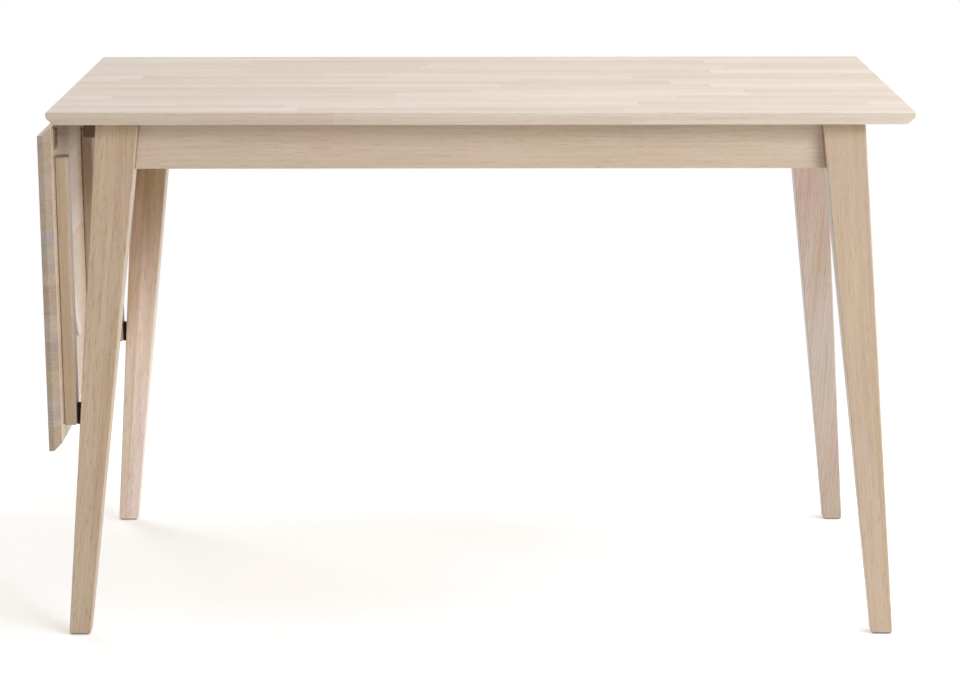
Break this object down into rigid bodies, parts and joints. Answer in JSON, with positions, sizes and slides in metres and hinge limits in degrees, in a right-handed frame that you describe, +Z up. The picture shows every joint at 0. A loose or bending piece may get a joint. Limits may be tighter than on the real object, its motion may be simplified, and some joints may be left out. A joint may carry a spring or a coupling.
{
  "type": "drop-leaf dining table",
  "caption": "Rectangular wooden dining table on splayed tapered legs, with a drop leaf hinged at its end, battens and bumpers under the leaf, and pull-out bars that carry it when raised.",
  "frame": {"origin": "on the floor under the middle of the box that holds the table with its leaf hanging", "axes": "+X along the table, away from the drop leaf; +Y from the front long side to the rear one; +Z up"},
  "size_m": [1.212, 0.8, 0.745],
  "materials": {
    "top_oak": "pale whitewashed oak, matt",
    "leaf_oak": "pale whitewashed oak, matt",
    "rail_oak": "pale whitewashed oak, matt",
    "leg_oak": "pale whitewashed oak, matt",
    "batten_oak": "pale whitewashed oak, matt",
    "block_beech": "planed, unfinished",
    "bar_beech": "planed, oiled",
    "dowel_beech": "plain, glued",
    "fixing_steel": "zinc plated",
    "hinge_pin_steel": "bright drawn",
    "hinge_brass": "dull, brushed",
    "bumper_rubber": "matt black"
  },
  "bodies": {
    "table": {"table_top": "top_oak", "front_apron": "rail_oak", "rear_apron": "rail_oak", "leaf_end_apron": "rail_oak", "plain_end_apron": "rail_oak", "cross_rail": "rail_oak", "leg_front_leaf": "leg_oak", "leg_rear_leaf": "leg_oak", "leg_front_plain": "leg_oak", "leg_rear_plain": "leg_oak", "block_front_leaf": "block_beech", "block_rear_leaf": "block_beech", "block_front_plain": "block_beech", "block_rear_plain": "block_beech", "leg_bolts": "fixing_steel", "leg_washers": "fixing_steel", "leg_nuts": "fixing_steel", "apron_dowels": "dowel_beech", "rail_dowels": "dowel_beech", "top_brackets": "fixing_steel", "bracket_screws": "fixing_steel", "hinge_top_front": "hinge_brass", "hinge_top_middle": "hinge_brass", "hinge_top_rear": "hinge_brass", "hinge_pin_front": "hinge_pin_steel", "hinge_pin_middle": "hinge_pin_steel", "hinge_pin_rear": "hinge_pin_steel", "hinge_top_screws": "hinge_brass"},
    "leaf": {"drop_leaf": "leaf_oak", "batten_front": "batten_oak", "batten_middle": "batten_oak", "batten_rear": "batten_oak", "batten_screws": "fixing_steel", "wedge_front": "batten_oak", "wedge_rear": "batten_oak", "wedge_screws": "fixing_steel", "bumper_front": "bumper_rubber", "bumper_rear": "bumper_rubber", "bumper_screws": "fixing_steel", "hinge_leaf_front": "hinge_brass", "hinge_leaf_middle": "hinge_brass", "hinge_leaf_rear": "hinge_brass", "hinge_leaf_screws": "hinge_brass"},
    "bar_front": {"support_bar_front": "bar_beech", "stop_pin_front": "bar_beech"},
    "bar_rear": {"support_bar_rear": "bar_beech", "stop_pin_rear": "bar_beech"}
  },
  "joints": [
    {"name": "leaf_hinge", "type": "hinge", "parent": "table", "child": "leaf", "pos_m": [-0.58479, 0, 0.7236], "axis": [0, 1, 0], "range_deg": [0, 90.98]},
    {"name": "bar_front_slide", "type": "slide", "parent": "table", "child": "bar_front", "axis": [-1, 0, 0], "range_m": [0, 0.02]},
    {"name": "bar_rear_slide", "type": "slide", "parent": "table", "child": "bar_rear", "axis": [-1, 0, 0], "range_m": [0, 0.02]}
  ]
}
